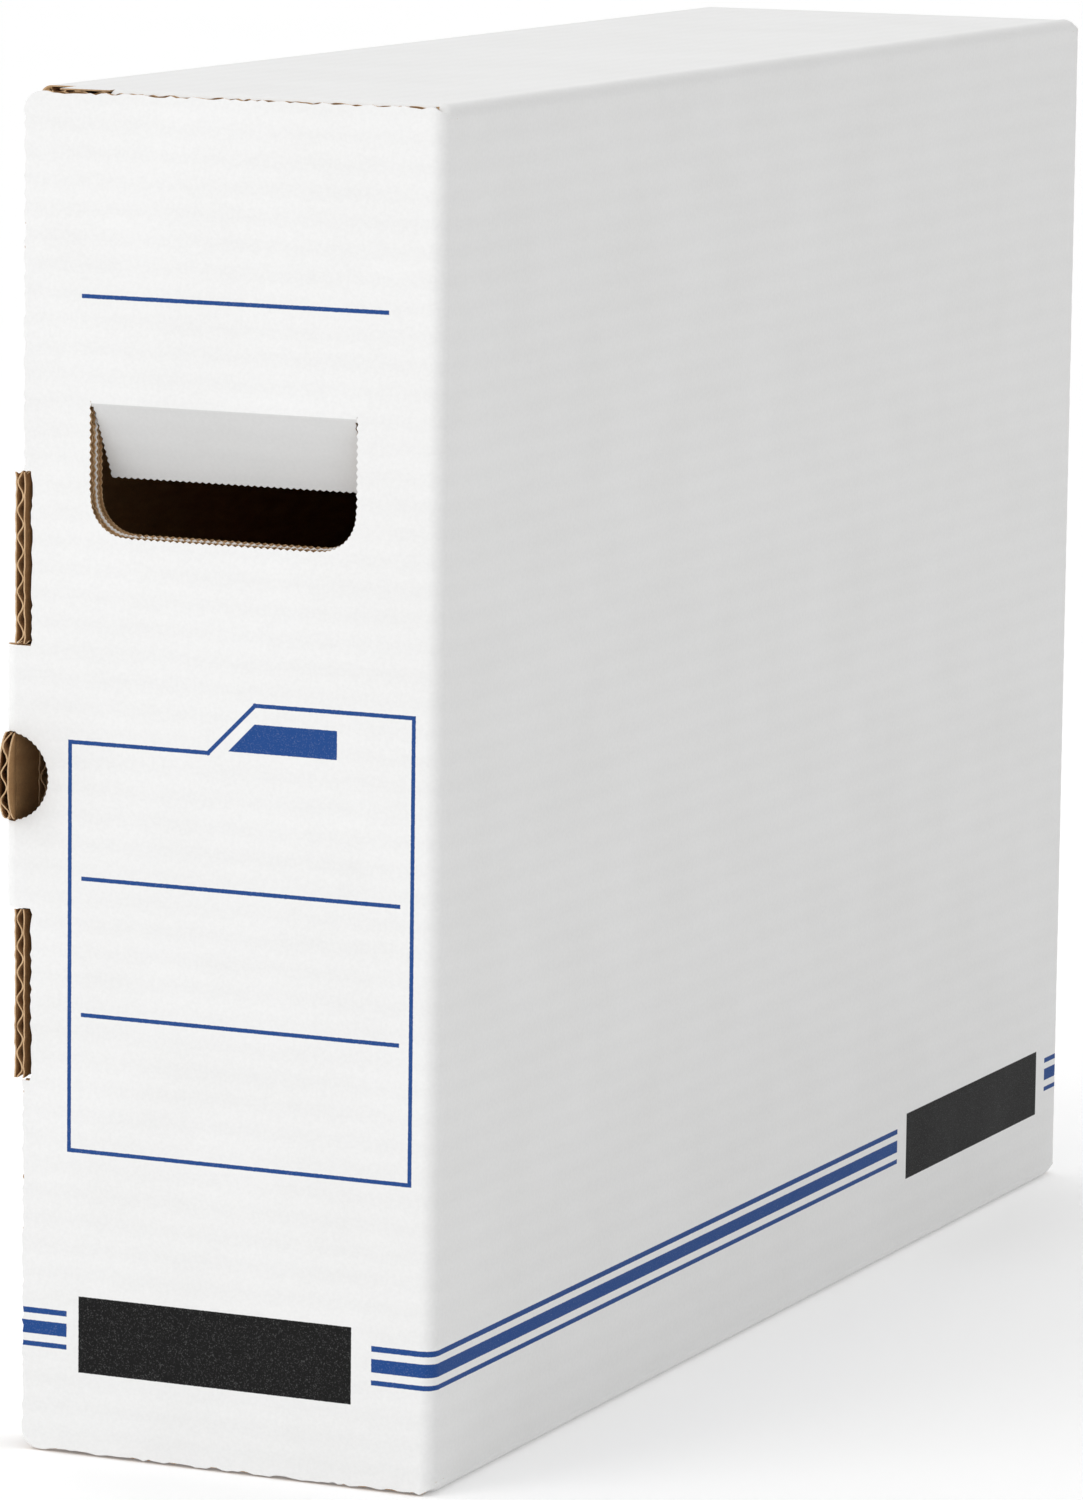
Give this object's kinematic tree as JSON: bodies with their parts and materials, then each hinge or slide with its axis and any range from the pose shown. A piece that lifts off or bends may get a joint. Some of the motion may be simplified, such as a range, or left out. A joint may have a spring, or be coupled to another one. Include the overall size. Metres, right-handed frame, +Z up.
{
  "type": "corrugated file carton",
  "caption": "Tall narrow corrugated-board storage carton that opens at its front with a hinged flap, a tuck-round lock tab and a push-in hand hole.",
  "frame": {"origin": "middle of the body's underside, which it stands on", "axes": "+Z up, +Y from the opening end (front) to the glued end (back), +X to the right seen from the front"},
  "size_m": [0.1395, 0.5246, 0.4],
  "materials": {
    "white_board": "matte",
    "kraft_board": "matte",
    "print_ink": "matte"
  },
  "bodies": {
    "carton": {"right_side": "white_board", "left_side": "white_board", "top_side": "white_board", "bottom_side": "white_board", "glued_lap": "white_board", "back_outer_flap": "white_board", "back_inner_flap": "white_board", "back_top_flap": "white_board", "back_bottom_flap": "white_board"},
    "front_flap": {"front_flap": "white_board"},
    "lock_tab": {"lock_tab": "white_board"},
    "handle_flap": {"handle_flap": "white_board"},
    "top_inner_flap": {"top_inner_flap": "white_board"},
    "bottom_inner_flap": {"bottom_inner_flap": "white_board"}
  },
  "joints": [
    {"name": "front_flap_hinge", "type": "hinge", "parent": "carton", "child": "front_flap", "pos_m": [0.067, -0.2565, 0.2], "axis": [0, 0, 1], "range_deg": [0, 175]},
    {"name": "lock_tab_hinge", "type": "hinge", "parent": "front_flap", "child": "lock_tab", "pos_m": [-0.0705, -0.2565, 0.2], "axis": [0, 0, 1], "range_deg": [0, 110]},
    {"name": "handle_flap_hinge", "type": "hinge", "parent": "front_flap", "child": "handle_flap", "pos_m": [-0.001, -0.2543, 0.311], "axis": [1, 0, 0], "range_deg": [-25, 65]},
    {"name": "top_inner_hinge", "type": "hinge", "parent": "carton", "child": "top_inner_flap", "pos_m": [0, -0.2505, 0.3966], "axis": [1, 0, 0], "range_deg": [0, 80]},
    {"name": "bottom_inner_hinge", "type": "hinge", "parent": "carton", "child": "bottom_inner_flap", "pos_m": [0, -0.2505, 0.0034], "axis": [-1, 0, 0], "range_deg": [0, 80]}
  ]
}
